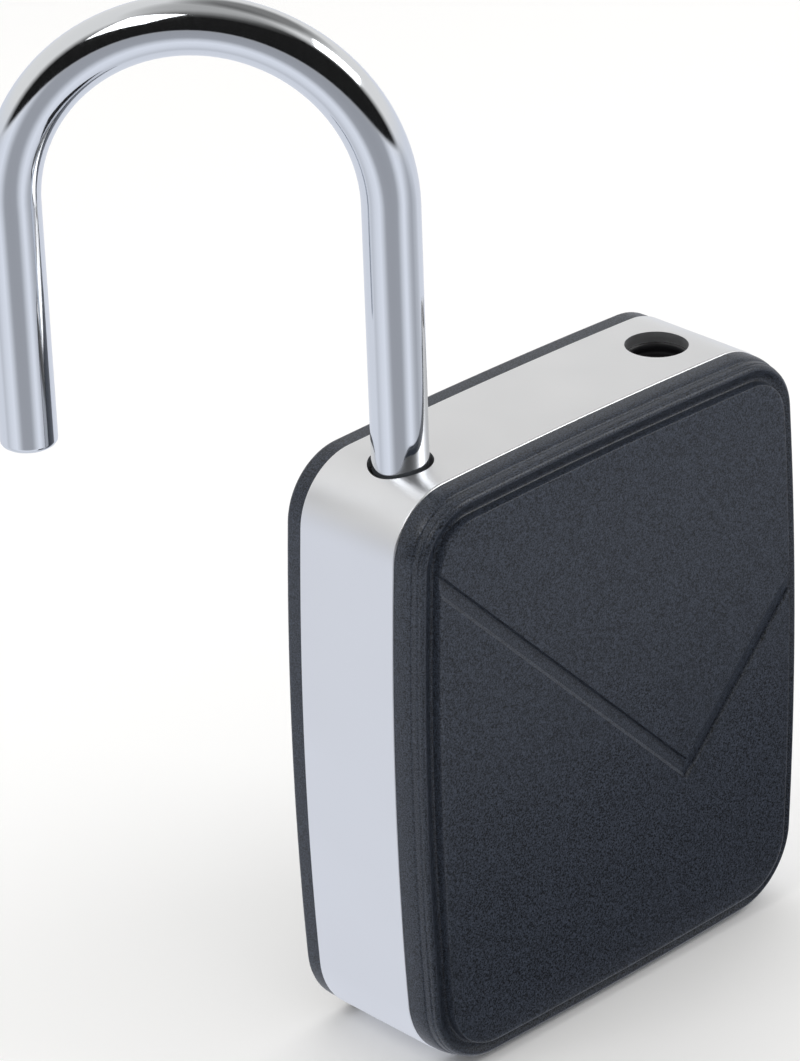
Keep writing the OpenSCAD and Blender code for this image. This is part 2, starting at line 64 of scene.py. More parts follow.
MM = 0.001
NODES = frame["nodes"]
BLOCK_LOW, BLOCK_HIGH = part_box("body_block")
SHACKLE_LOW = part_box("shackle")[0]
SEAL_LOW, SEAL_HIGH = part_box("heel_seal")
LINER_LOW, LINER_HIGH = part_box("toe_liner")
HEEL_X = (SEAL_LOW.x + SEAL_HIGH.x) / 2
TOE_X = (LINER_LOW.x + LINER_HIGH.x) / 2
LEG_SPACING = TOE_X - HEEL_X
SLIP = 0.02 * MM
TOP_HOLE_R = (LINER_HIGH.x - LINER_LOW.x) / 2 + SLIP
JOINTS = {joint["name"]: joint for joint in frame["record"]["behaviour"]["joints"]}
MOUNTS = {mount["name"]: mount for mount in frame["record"]["mounts"]}
BAR_R = MOUNTS["toe_leg"]["dims"]["r_mm"] * MM
LOCK_BODY = "lock_body"

# The bar's inner end: radius of its neck and groove, lengths of its collar and of the cross
# pin's room, and the free room on each side.
NECK_R, COLLAR, PIN_ROOM, FREE = 2.4 * MM, 4.0 * MM, 3.0 * MM, 0.3 * MM
BAR_END = 0.8 * MM
KEY_SLOT = (2.2 * MM, 7.4 * MM)
SPRING_TURNS, SPRING_STEPS, WIRE_STEPS = 9, 28, 10
PAST = 1 * MM
NEAR = 1e-7

# How far the foot of either cover stands in from the block's outline.
COVER_FOOT = 0.12 * MM
BACK_BULGE = 0.3 * MM
# The channel's steep and gentle walls, and half the width of the meeting of its arms.
STEEP, GENTLE, MEETING = 0.22 * MM, 0.5 * MM, 0.6 * MM
# Depth at the channel's gentle side, as a share of its full depth.
SHALLOW_SHARE = 0.55

CAMERA_TURN, CAMERA_RISE, CAMERA_ROLL = -43.226, 26.635, -2.1
CAMERA_AIM = Vector((-27.556, 0, 79.867)) * MM
CAMERA_DISTANCE = 0.66535
FOCAL_PX, LONG_SIDE_PX, SENSOR_MM = 4867.5, 1061, 36

AIM = Vector((0, 0, 80 * MM))
SOFTBOX_DISTANCE = 0.9
# Level direction that the dim half of the room lies in.
FRONT = (-0.685, -0.728, 0.0)
# A dark sheet on the floor in front of the block, seen only in its gloss: a painted reflection of
# shade, darkening the lower parts of the pieces' gloss as the shaded floor near the block would.
SHADE_CARD_AT = (0.07, -0.045, 0.001)
SHADE_CARD_SIZE = (0.26, 0.055)
# Darker patches of the room: direction, cosines where it starts and is full, what it leaves.
HIGH_PATCH = ((0.56, 0.14, 0.81), 0.86, 0.96, 0.3)
LOW_PATCH = ((0.612, -0.651, -0.448), 0.86, 0.98, 0.7)
SURROUND = 0.74
# Greys of the mirrored room, as (place, grey): the table by bearing, from behind to in front,
# and the two halves of the room by height, from straight down to straight up.
TABLE = ((0.0, 0.85), (0.45, 0.85), (0.55, 0.70), (0.70, 0.88), (0.82, 0.95), (0.88, 0.75),
         (0.93, 0.44), (1.0, 0.40))
ROOM_BEHIND = ((0.0, 0.90), (0.91, 0.80), (0.97, 0.52), (1.0, 0.45))
ROOM_BEFORE = ((0.0, 0.012), (0.875, 0.012), (0.92, 0.08), (0.96, 0.25), (1.0, 0.45))
# Each softbox: name, bearing and height in degrees, size in metres, radiance.
SOFTBOXES = (
    ("left_box", -92.0, 50.0, (0.40, 0.34), 3.6),
    ("right_box", 46.0, 42.0, (0.44, 0.34), 3.6),
    ("back_box", 140.0, 60.0, (0.8, 0.5), 1.2),
)


def colour(hex_code):
    """An sRGB hex value as linear red, green, blue and alpha."""
    parts = [int(hex_code[i:i + 2], 16) / 255 for i in (1, 3, 5)]
    return [p / 12.92 if p <= 0.04045 else ((p + 0.055) / 1.055) ** 2.4 for p in parts] + [1.0]


def length(name, description, millimetres):
    """A length that a user may change, with its default in millimetres."""
    return bpy.props.FloatProperty(name=name, description=description, default=millimetres * MM,
                                   subtype="DISTANCE", unit="LENGTH", precision=5)


def tint(name, description, hex_code):
    """A colour that a user may change, with its default as sRGB hex."""
    return bpy.props.FloatVectorProperty(name=name, description=description, subtype="COLOR",
                                         size=4, min=0.0, max=1.0, default=colour(hex_code))


class LockSizes(bpy.types.PropertyGroup):
    """Sizes of the padlock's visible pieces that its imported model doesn't state."""
    side_bow: length("Side bow", "How far the long sides bow outwards", 1.9)
    end_bow: length("End bow", "How far the top and the bottom bow outwards", 0.75)
    top_corner: length("Top corners", "Radius of the two top corners", 10.0)
    bottom_corner: length("Bottom corners", "Radius of the two bottom corners", 12.0)
    band_edge: length("Band edge", "Radius of the metal band's long edges", 0.3)
    hole_edge: length("Hole edge", "Radius of the rims of the two top holes", 0.35)
    back_edge: length("Back edge", "Radius of the back cover's outer edge", 0.8)
    channel_x: length("Channel point, sideways", "Place of the V channel's point", 13.2)
    channel_z: length("Channel point, height", "Height of the V channel's point", 31.3)
    channel_w: length("Channel width", "Width of the V channel across one arm", 2.5)
    channel_depth: length("Channel depth", "Depth of the V channel at its steep side", 0.6)
    spring_wire: length("Spring wire", "Wire diameter of the shackle spring", 1.1)
    swing: bpy.props.FloatProperty(name="Shackle swing", unit="ROTATION", default=radians(131.0),
                                   description="How far the open shackle is drawn from closed")


class LockColours(bpy.types.PropertyGroup):
    """Colours of the padlock's finishes."""
    aluminium: tint("Aluminium", "Satin anodised metal of the band", "#F3F4F6")
    cover: tint("Cover", "Moulded cover plastic", "#0E1014")
    cover_fleck: tint("Cover fleck", "Lighter grain of the cover plastic", "#414855")
    chrome: tint("Chrome", "Polished chrome of the shackle", "#E4E7EB")
    steel: tint("Steel", "Machined steel of the inner parts", "#A6A8AB")
    spring: tint("Spring", "Drawn spring steel", "#8B8E92")
    brass: tint("Brass", "Turned brass of the key plug", "#C9A85C")
    rubber: tint("Rubber", "Black rubber of the seal", "#141416")
    nylon: tint("Nylon", "Black nylon of the sleeves", "#1B1B1E")


# ---------------------------------------------------------------- materials

def new_material(name):
    """A new material, with its node tree and its shader."""
    material = bpy.data.materials.new(name)
    material.use_nodes = True
    return material, material.node_tree, material.node_tree.nodes["Principled BSDF"]


def add(tree, kind, settings=None, links=None):
    """Adds a node, sets its properties or inputs, and links its inputs to other nodes' outputs."""
    node = tree.nodes.new(kind)
    for key, value in (settings or {}).items():
        if isinstance(key, int) or key in node.inputs:
            node.inputs[key].default_value = value
        else:
            setattr(node, key, value)
    for key, (source, socket) in (links or {}).items():
        tree.links.new(source.outputs[socket], node.inputs[key])
    return node


def surface_grain(tree, shader, pitch_mm, height_mm, stretch=(1.0, 1.0, 1.0), detail=3.0):
    """A fine noise over the piece, as a bump of a stated height, and the noise for other uses."""
    place = add(tree, "ShaderNodeTexCoord")
    mapping = add(tree, "ShaderNodeMapping", {"Scale": stretch}, {"Vector": (place, "Object")})
    noise = add(tree, "ShaderNodeTexNoise", {"Scale": 1 / (pitch_mm * MM), "Detail": detail},
                {"Vector": (mapping, "Vector")})
    bump = add(tree, "ShaderNodeBump", {"Strength": 1.0, "Distance": height_mm * MM},
               {"Height": (noise, "Fac")})
    tree.links.new(bump.outputs["Normal"], shader.inputs["Normal"])
    return noise, mapping


def spread(tree, noise, low, high, from_low=0.3, from_high=0.7):
    """The noise's usual range, spread from one value to another."""
    return add(tree, "ShaderNodeMapRange",
               {"From Min": from_low, "From Max": from_high, "To Min": low, "To Max": high},
               {"Value": (noise, "Fac")})


def set_roughness(tree, shader, noise, low, high):
    """Varies the shader's roughness with a noise."""
    rough = spread(tree, noise, low, high)
    tree.links.new(rough.outputs["Result"], shader.inputs["Roughness"])


def satin_anodised_aluminium(colours):
    """Extruded aluminium, blasted and anodised: a soft, even, slightly cloudy sheen, fine grit."""
    material, tree, shader = new_material("satin_anodised_aluminium")
    mapping = surface_grain(tree, shader, 0.25, 0.0035)[1]
    cloud = add(tree, "ShaderNodeTexNoise", {"Scale": 1 / (14 * MM), "Detail": 2.0},
                {"Vector": (mapping, "Vector")})
    set_roughness(tree, shader, cloud, 0.36, 0.44)
    shader.inputs["Base Color"].default_value = colours.aluminium
    shader.inputs["Metallic"].default_value = 1.0
    return material


def moulded_cover_plastic(colours):
    """Glass-filled nylon from a spark-eroded mould: dark, dry and finely speckled, a little
    glossier on the crowns of its grain. The grain is drawn at 0.22 mm, coarser than real."""
    material, tree, shader = new_material("moulded_cover_plastic")
    noise = surface_grain(tree, shader, 0.22, 0.008, detail=4.0)[0]
    flecks = spread(tree, noise, 0.0, 1.0, 0.36, 0.68)
    paint = add(tree, "ShaderNodeMix", {"data_type": "RGBA"}, {"Factor": (flecks, "Result")})
    for socket in paint.inputs:
        if socket.type == "RGBA":
            base = socket.name == "A"
            socket.default_value = colours.cover if base else colours.cover_fleck
    result = [socket for socket in paint.outputs if socket.type == "RGBA"][0]
    tree.links.new(result, shader.inputs["Base Color"])
    set_roughness(tree, shader, noise, 0.42, 0.30)
    shader.inputs["IOR"].default_value = 1.5
    shader.inputs["Specular IOR Level"].default_value = 0.4
    return material


def polished_chrome(colours):
    """Buffed steel bar with bright chrome: a mirror with the faintest buffing haze along it."""
    material, tree, shader = new_material("polished_chrome")
    noise = surface_grain(tree, shader, 0.6, 0.0006, stretch=(1.0, 1.0, 0.05))[0]
    set_roughness(tree, shader, noise, 0.05, 0.09)
    shader.inputs["Base Color"].default_value = colours.chrome
    shader.inputs["Metallic"].default_value = 1.0
    return material


def turned_metal(name, base, roughness, pitch_mm, across=(1.0, 1.0, 1.0)):
    """Metal with the fine marks of a lathe, a mill or a drawing die."""
    material, tree, shader = new_material(name)
    noise = surface_grain(tree, shader, pitch_mm, 0.006, stretch=across)[0]
    set_roughness(tree, shader, noise, roughness - 0.06, roughness + 0.08)
    shader.inputs["Base Color"].default_value = base
    shader.inputs["Metallic"].default_value = 1.0
    return material


def machined_steel(colours):
    """Milled, zinc-plated steel: grey, with short fine tool marks."""
    return turned_metal("machined_steel", colours.steel, 0.34, 0.3, (0.15, 1.0, 1.0))


def drawn_spring_steel(colours):
    """Hard drawn wire and stamped strip: darker grey with a dull shine."""
    return turned_metal("drawn_spring_steel", colours.spring, 0.38, 0.15)


def turned_brass(colours):
    """Free-cutting brass from the lathe: warm yellow with fine turning rings along its axis."""
    return turned_metal("turned_brass", colours.brass, 0.28, 0.25, (0.05, 0.05, 1.0))


def moulded_black(name, base, roughness, pitch_mm):
    """Black rubber or plastic with a faint, shallow grain."""
    material, tree, shader = new_material(name)
    noise = surface_grain(tree, shader, pitch_mm, 0.012)[0]
    set_roughness(tree, shader, noise, roughness - 0.05, roughness + 0.08)
    shader.inputs["Base Color"].default_value = base
    return material


def black_seal_rubber(colours):
    """Nitrile rubber from a plain mould: nearly black, dull and soft-edged."""
    return moulded_black("black_seal_rubber", colours.rubber, 0.62, 0.4)


def black_sleeve_nylon(colours):
    """Turned black nylon: dark with a waxy shine."""
    return moulded_black("black_sleeve_nylon", colours.nylon, 0.42, 0.3)


FINISHES = {
    "satin_aluminium": satin_anodised_aluminium,
    "cover_plastic": moulded_cover_plastic,
    "chromed_steel": polished_chrome,
    "plain_steel": machined_steel,
    "spring_steel": drawn_spring_steel,
    "turned_brass": turned_brass,
    "black_rubber": black_seal_rubber,
    "black_nylon": black_sleeve_nylon,
}


def finish_for(slot_name):
    """The finish of a material slot, made once and shared by all its pieces."""
    maker = FINISHES[slot_name]
    found = bpy.data.materials.get(maker.__name__)
    return found or maker(bpy.context.scene.lock_colours)


# ---------------------------------------------------------------- mesh helpers

def add_piece(name, bm, slot_name, nodes, body=LOCK_BODY, edge=0.0, edge_angle=30.0):
    """Turns a bmesh into a finished piece that rides on a body and stands for CAD nodes."""
    bmesh.ops.remove_doubles(bm, verts=bm.verts, dist=NEAR)
    bmesh.ops.recalc_face_normals(bm, faces=bm.faces)
    for face in bm.faces:
        face.smooth = True
    mesh = bpy.data.meshes.new(name)
    bm.to_mesh(mesh)
    bm.free()
    piece = bpy.data.objects.new(name, mesh)
    bpy.context.scene.collection.objects.link(piece)
    mesh.materials.append(finish_for(slot_name))
    if edge:
        bevel = piece.modifiers.new("edges", "BEVEL")
        bevel.width = edge
        bevel.segments = 3
        bevel.limit_method = "ANGLE"
        bevel.angle_limit = radians(edge_angle)
        bevel.harden_normals = True
    shading = piece.modifiers.new("shading", "WEIGHTED_NORMAL")
    shading.keep_sharp = True
    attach(piece, body)
    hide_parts(*nodes)
    return piece


def spun(bm, profile, steps=64):
    """Turns a profile of (radius, height) points once round the Z axis."""
    verts = [bm.verts.new((r, 0, z)) for r, z in profile]
    edges = [bm.edges.new(pair) for pair in zip(verts, verts[1:])]
    bmesh.ops.spin(bm, geom=verts + edges, cent=(0, 0, 0), axis=(0, 0, 1), angle=2 * pi,
                   steps=steps, use_merge=True)


def moved(bm, x):
    """Moves a whole bmesh sideways."""
    bmesh.ops.translate(bm, verts=bm.verts, vec=(x, 0, 0))


def ring_profile(outer, inner, low, high, edge):
    """Closed section of a ring whose four edges are rounded."""
    section = []
    for r, z, start in ((outer - edge, low + edge, -90), (outer - edge, high - edge, 0),
                        (inner + edge, high - edge, 90), (inner + edge, low + edge, 180)):
        section += [(r + edge * cos(radians(start + turn)), z + edge * sin(radians(start + turn)))
                    for turn in (0, 30, 60, 90)]
    return section + section[:1]


def meet(first, first_r, second, second_r, side):
    """Where two circles meet, on one side of the line between their centres."""
    apart = second - first
    along = (first_r ** 2 - second_r ** 2 + apart.length_squared) / (2 * apart.length)
    off = sqrt(first_r ** 2 - along ** 2)
    unit = apart.normalized()
    return first + along * unit + side * off * Vector((-unit.y, unit.x))


def outline_arcs():
    """The block's outline as (centre, turn, steps) arcs, round from the bottom's middle."""
    sizes = bpy.context.scene.lock_sizes
    half_w, height = (BLOCK_HIGH.x - BLOCK_LOW.x) / 2, BLOCK_HIGH.z - BLOCK_LOW.z
    side_r = ((height / 2) ** 2 + sizes.side_bow ** 2) / (2 * sizes.side_bow)
    end_r = (half_w ** 2 + sizes.end_bow ** 2) / (2 * sizes.end_bow)
    side = Vector((half_w - side_r, height / 2))
    top, bottom = Vector((0, height - end_r)), Vector((0, end_r))
    high = meet(top, end_r - sizes.top_corner, side, side_r - sizes.top_corner, -1)
    low = meet(bottom, end_r - sizes.bottom_corner, side, side_r - sizes.bottom_corner, 1)
    lines = [corner - centre for corner, centre in
             ((low, bottom), (low, side), (high, side), (high, top))]
    stops = [-pi / 2] + [atan2(line.y, line.x) for line in lines] + [pi / 2]
    right = [(centre, stop - start, steps) for centre, start, stop, steps in
             zip((bottom, low, side, high, top), stops, stops[1:], (14, 18, 18, 18, 14))]
    left = [(Vector((-centre.x, centre.y)), turn, steps) for centre, turn, steps in reversed(right)]
    return right + left


def outline_face(bm, y, inset=0.0):
    """A face with the block's outline, moved inwards by inset, at y."""
    first = last = bm.verts.new((0, y, BLOCK_LOW.z + inset))
    for centre, turn, steps in outline_arcs():
        made = bmesh.ops.spin(bm, geom=[last], cent=(centre.x, y, centre.y), axis=(0, -1, 0),
                              angle=turn, steps=steps)
        last = made["geom_last"][0]
    bmesh.ops.weld_verts(bm, targetmap={last: first})
    return bmesh.ops.contextual_create(bm, geom=bm.edges)["faces"][0]


def raised(bm, face, direction):
    """Raises a copy of a face by one step, and keeps the first as the piece's base."""
    made = bmesh.ops.extrude_face_region(bm, geom=[face], use_keep_orig=True)
    top = [item for item in made["geom"] if isinstance(item, bmesh.types.BMFace)][0]
    bmesh.ops.translate(bm, verts=top.verts, vec=direction)
    return top


def stepped(bm, top, steps, out):
    """Insets a face again and again: each step is (how far in, how far along Y)."""
    for inwards, along in steps:
        bmesh.ops.inset_region(bm, faces=[top], thickness=abs(inwards) or NEAR,
                               use_outset=inwards < 0, use_even_offset=True, use_boundary=True)
        bmesh.ops.translate(bm, verts=top.verts, vec=(0, out * along, 0))
    return top


def rounded_edge(radius, steps=5):
    """Steps of a quarter round, from a side wall over to a flat face."""
    turns = [pi / 2 * i / steps for i in range(steps + 1)]
    return [(radius * (cos(a) - cos(b)), radius * (sin(b) - sin(a)))
            for a, b in zip(turns, turns[1:])]


def cut(piece, tool):
    """Cuts a tool bmesh out of a piece, and applies the cut."""
    bmesh.ops.recalc_face_normals(tool, faces=tool.faces)
    mesh = bpy.data.meshes.new("cutter")
    tool.to_mesh(mesh)
    tool.free()
    cutter = bpy.data.objects.new("cutter", mesh)
    bpy.context.scene.collection.objects.link(cutter)
    boolean = piece.modifiers.new("cut", "BOOLEAN")
    boolean.object, boolean.solver = cutter, "EXACT"
    bpy.context.view_layer.objects.active = piece
    while piece.modifiers[0] != boolean:
        bpy.ops.object.modifier_move_up(modifier="cut")
    bpy.ops.object.modifier_apply(modifier="cut")
    bpy.data.objects.remove(cutter)


def bar_tool(bm, x, low, high, radius):
    """A round upright tool for a bore."""
    place = Matrix.Translation((x, 0, (low + high) / 2))
    bmesh.ops.create_cone(bm, cap_ends=True, segments=96, radius1=radius, radius2=radius,
                          depth=high - low, matrix=place)


def box_tool(bm, low, high):
    """A square tool between two corners."""
    size = Vector(high) - Vector(low)
    place = Matrix.Translation(Vector(low) + size / 2) @ Matrix.Diagonal((*size, 1))
    bmesh.ops.create_cube(bm, size=1.0, matrix=place)


# ---------------------------------------------------------------- pieces

class LOCK_OT_band(bpy.types.Operator):
    """Makes the metal block between the covers, with its bores"""
    bl_idname = "lock.band"
    bl_label = "Metal band"

    def execute(self, context):
        sizes = context.scene.lock_sizes
        front, back = BLOCK_LOW.y, BLOCK_HIGH.y
        bm = bmesh.new()
        base = outline_face(bm, front + sizes.band_edge)
        top = raised(bm, base, (0, back - front - 2 * sizes.band_edge, 0))
        stepped(bm, top, rounded_edge(sizes.band_edge, 3), 1)
        stepped(bm, base, rounded_edge(sizes.band_edge, 3), -1)
        piece = add_piece("body_band", bm, "satin_aluminium", ["body_block"],
                          edge=sizes.hole_edge, edge_angle=50.0)
        bush_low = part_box("heel_bush")[0].z
        spring_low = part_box("shackle_spring")[0].z
        housing_high, cam_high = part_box("plug_housing")[1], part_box("drive_cam")[1]
        bolt_low, bolt_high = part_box("lock_bolt")
        plate_low, plate_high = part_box("bolt_plate")
        for x, low, high, radius in (
                (HEEL_X, bush_low, BLOCK_HIGH.z + PAST, TOP_HOLE_R),
                (HEEL_X, spring_low, bush_low + PAST, BAR_R + 3 * SLIP),
                (TOE_X, LINER_LOW.z, BLOCK_HIGH.z + PAST, TOP_HOLE_R),
                (0, BLOCK_LOW.z - PAST, housing_high.z, housing_high.x + SLIP),
                (0, housing_high.z - PAST, bolt_high.z, cam_high.x + FREE)):
            tool = bmesh.new()
            bar_tool(tool, x, low, high, radius)
            cut(piece, tool)
        for low, high in (
                ((HEEL_X, front - PAST, bolt_low.z - FREE), bolt_high + Vector((FREE, FREE, FREE))),
                ((plate_low.x, front - PAST, plate_low.z),
                 (plate_high.x, front + 2 * MM, plate_high.z))):
            tool = bmesh.new()
            box_tool(tool, low, high)
            cut(piece, tool)
        return {"FINISHED"}


class LOCK_OT_front_cover(bpy.types.Operator):
    """Makes the front cover: side wall, groove, rounded rim, valley, raised panel and V channel"""
    bl_idname = "lock.front_cover"
    bl_label = "Front cover"

    # The cover's section, as (how far in from the outline, how far out from the block), in mm.
    SECTION = (
        (0.12, 0.00), (0.12, 0.10), (0.03, 0.20), (0.00, 0.34), (0.00, 0.80), (0.02, 1.30),
        (0.06, 1.80), (0.12, 2.20), (0.20, 2.56), (0.31, 2.84), (0.46, 3.02),
        (0.50, 3.16), (0.40, 3.28), (0.33, 3.44), (0.31, 3.66), (0.35, 3.88), (0.47, 4.04),
        (0.52, 4.16), (0.42, 4.26), (0.42, 4.38), (0.50, 4.56), (0.62, 4.70), (0.76, 4.81),
        (0.92, 4.88), (1.08, 4.87), (1.26, 4.78), (1.50, 4.62), (1.78, 4.44), (2.08, 4.31),
        (2.40, 4.25), (2.66, 4.30), (2.80, 4.42), (2.86, 4.70), (2.90, 5.10), (2.93, 5.50),
        (2.97, 5.72), (3.04, 5.81), (3.16, 5.86), (3.36, 5.89), (3.70, 5.90),
    )

    def execute(self, context):
        bm = bmesh.new()
        steps = [((b[0] - a[0]) * MM, (b[1] - a[1]) * MM)
                 for a, b in zip(self.SECTION, self.SECTION[1:])]
        base = outline_face(bm, BLOCK_LOW.y, self.SECTION[0][0] * MM)
        top = raised(bm, base, (0, -steps[0][1], 0))
        top = stepped(bm, top, steps[1:], -1)
        self.press_channel(bm, top, context.scene.lock_sizes)
        add_piece("front_cover_shell", bm, "cover_plastic", ["front_cover"],
                  edge=0.05 * MM, edge_angle=18.0)
        return {"FINISHED"}

    def press_channel(self, bm, top, sizes):
        """Presses the V channel into the panel: each arm has a steep wall on one side, a floor
        that rises from it, and a gentler wall on the other side."""
        panel_y = top.verts[0].co.y
        deep, shallow = sizes.channel_depth, sizes.channel_depth * SHALLOW_SHARE
        point = Vector((sizes.channel_x, panel_y, sizes.channel_z))
        half = sizes.channel_w / 2
        arms = {-1: ((half, 0), (half - STEEP, deep), (GENTLE - half, shallow), (-half, 0)),
                1: ((half, 0), (half - GENTLE, shallow), (STEEP - half, deep), (-half, 0))}

        def panel_part(side=0):
            """The geometry near the panel's level, all of it or on one side of the point."""
            middles = [(face, face.calc_center_median()) for face in bm.faces]
            faces = [face for face, middle in middles if middle.y < panel_y + PAST
                     and (not side or (middle.x - point.x) * side > 0)]
            return list({item for face in faces for item in (face, *face.edges, *face.verts)})

        for x in (point.x - MEETING, point.x, point.x + MEETING):
            bmesh.ops.bisect_plane(bm, geom=panel_part(), dist=NEAR,
                                   plane_co=(x, 0, 0), plane_no=(1, 0, 0))
        for side, section in arms.items():
            normal = Vector((-side, 0, 1)).normalized()
            for offset, depth in section:
                bmesh.ops.bisect_plane(bm, geom=panel_part(side), dist=NEAR,
                                       plane_co=point + offset * normal, plane_no=normal)
        for vert in bm.verts:
            side = -1 if vert.co.x < point.x - 10 * NEAR else 1
            offset = (vert.co - point).dot(Vector((-side, 0, 1)).normalized())
            depth = self.channel_depth_at(arms[side], offset)
            if depth:
                vert.co.y = max(vert.co.y, panel_y + depth)

    def channel_depth_at(self, section, offset):
        """How deep the channel is at an offset across one arm."""
        for (high, first), (low, second) in zip(section, section[1:]):
            if low - NEAR < offset < high + NEAR:
                return first + (second - first) * (high - offset) / (high - low)
        return 0.0


class LOCK_OT_back_cover(bpy.types.Operator):
    """Makes the plain back cover with its rounded edge"""
    bl_idname = "lock.back_cover"
    bl_label = "Back cover"

    def execute(self, context):
        edge = context.scene.lock_sizes.back_edge
        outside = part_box("back_cover")[1].y
        bm = bmesh.new()
        base = outline_face(bm, BLOCK_HIGH.y, COVER_FOOT)
        top = raised(bm, base, (0, 0.1 * MM, 0))
        wall = outside - BLOCK_HIGH.y - 0.9 * MM - edge
        swell = [(-0.16 * MM, 0.1 * MM), (-0.5 * BACK_BULGE - 0.05 * MM, 0.35 * MM),
                 (-0.5 * BACK_BULGE + 0.09 * MM, 0.35 * MM), (0.02 * MM, wall)]
        stepped(bm, top, swell + rounded_edge(edge), 1)
        add_piece("back_cover_shell", bm, "cover_plastic", ["back_cover"])
        return {"FINISHED"}


class LOCK_OT_shackle(bpy.types.Operator):
    """Makes the round bar: heel leg with its neck and groove, bend and toe leg"""
    bl_idname = "lock.shackle"
    bl_label = "Shackle"

    def execute(self, context):
        leg = MOUNTS["toe_leg"]
        swing = context.scene.lock_sizes.swing
        heel_end = SHACKLE_LOW.z
        bend_z = leg["pos_m"][2] + leg["dims"]["length_mm"] * MM / 2
        toe_end = leg["pos_m"][2] - leg["dims"]["length_mm"] * MM / 2 - BAR_END
        bolt_low, bolt_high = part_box("lock_bolt")
        travel = -JOINTS["shackle_lift"]["range_m"][0]
        neck_low = heel_end + COLLAR
        neck_high = neck_low + travel + PIN_ROOM + 2 * FREE
        groove_low, groove_high = bolt_low.z - FREE + travel, bolt_high.z + FREE + travel
        soft = 0.25 * MM
        foot = [(0, heel_end)] + [
            (BAR_R - BAR_END * (1 - sin(a)), heel_end + BAR_END * (1 - cos(a)))
            for a in (0, 0.4, 0.8, 1.2, pi / 2)]
        heel = foot[:]
        for low, high in ((neck_low, neck_high), (groove_low, groove_high)):
            heel += [(BAR_R, low - soft), (BAR_R - soft, low), (NECK_R, low), (NECK_R, high),
                     (BAR_R - soft, high), (BAR_R, high + soft)]
        heel.append((BAR_R, bend_z))
        toe = [(r, z - heel_end + toe_end) for r, z in foot] + [(BAR_R, bend_z)]
        bm = bmesh.new()
        spun(bm, toe)
        bmesh.ops.translate(bm, verts=bm.verts, vec=(LEG_SPACING, 0, 0))
        spun(bm, heel)
        bmesh.ops.remove_doubles(bm, verts=bm.verts, dist=NEAR)
        ring = [edge for edge in bm.edges
                if all(abs(vert.co.z - bend_z) < 10 * NEAR and vert.co.x < 2 * BAR_R
                       for vert in edge.verts)]
        bmesh.ops.spin(bm, geom=ring, cent=(LEG_SPACING / 2, 0, bend_z), axis=(0, 1, 0), angle=pi,
                       steps=56)
        bmesh.ops.remove_doubles(bm, verts=bm.verts, dist=2e-6)
        place = Matrix.Translation((HEEL_X, 0, 0)) @ Matrix.Rotation(swing, 4, "Z")
        bmesh.ops.transform(bm, matrix=place, verts=bm.verts)
        add_piece("shackle_bar", bm, "chromed_steel", ["shackle"], body="shackle")
        return {"FINISHED"}


class LOCK_OT_sleeves(bpy.types.Operator):
    """Makes the rubber seal of the heel hole and the ribbed liner of the toe hole"""
    bl_idname = "lock.sleeves"
    bl_label = "Seal and liner"

    def execute(self, context):
        bm = bmesh.new()
        outer = (SEAL_HIGH.x - SEAL_LOW.x) / 2
        spun(bm, ring_profile(outer, BAR_R + 0.06 * MM, SEAL_LOW.z, SEAL_HIGH.z, 0.2 * MM))
        moved(bm, HEEL_X)
        add_piece("heel_seal_ring", bm, "black_rubber", ["heel_seal"])
        outer, inner = (LINER_HIGH.x - LINER_LOW.x) / 2, BAR_R + 0.15 * MM
        pitch, lead, rib, depth = 2.2 * MM, 0.9 * MM, 0.9 * MM, 0.16 * MM
        count = int((LINER_HIGH.z - LINER_LOW.z - 1 * MM) / pitch)
        section = [(inner, LINER_LOW.z), (outer, LINER_LOW.z), (outer, LINER_HIGH.z),
                   (inner + 0.15 * MM, LINER_HIGH.z), (inner, LINER_HIGH.z - 0.15 * MM)]
        for i in range(count):
            high = LINER_HIGH.z - lead - i * pitch
            section += [(inner, high), (inner + depth, high - 0.2 * MM),
                        (inner + depth, high - rib + 0.2 * MM), (inner, high - rib)]
        bm = bmesh.new()
        spun(bm, section + section[:1])
        moved(bm, TOE_X)
        add_piece("toe_liner_sleeve", bm, "black_nylon", ["toe_liner"])
        return {"FINISHED"}


class LOCK_OT_keyway(bpy.types.Operator):
    """Makes the ring round the keyhole and the slotted face of the plug"""
    bl_idname = "lock.keyway"
    bl_label = "Keyhole"

    def execute(self, context):
        low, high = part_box("keyhole_bezel")
        face_low, face_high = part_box("plug_face")
        wide, tall = KEY_SLOT
        bm = bmesh.new()
        spun(bm, ring_profile(high.x, face_high.x - 0.7 * MM, low.z, high.z, 0.3 * MM))
        add_piece("keyhole_ring", bm, "plain_steel", ["keyhole_bezel"])
        radius, edge = face_high.x, 0.3 * MM
        bm = bmesh.new()
        spun(bm, [(0, face_low.z), (radius - edge, face_low.z), (radius, face_low.z + edge),
                  (radius, face_high.z), (0, face_high.z)])
        piece = add_piece("plug_front", bm, "plain_steel", ["plug_face"], body="key_plug",
                          edge=0.15 * MM, edge_angle=50.0)
        tool = bmesh.new()
        box_tool(tool, (-wide / 2, -tall / 2, face_low.z - PAST),
                 (wide / 2, tall / 2, face_high.z + PAST))
        cut(piece, tool)
        return {"FINISHED"}


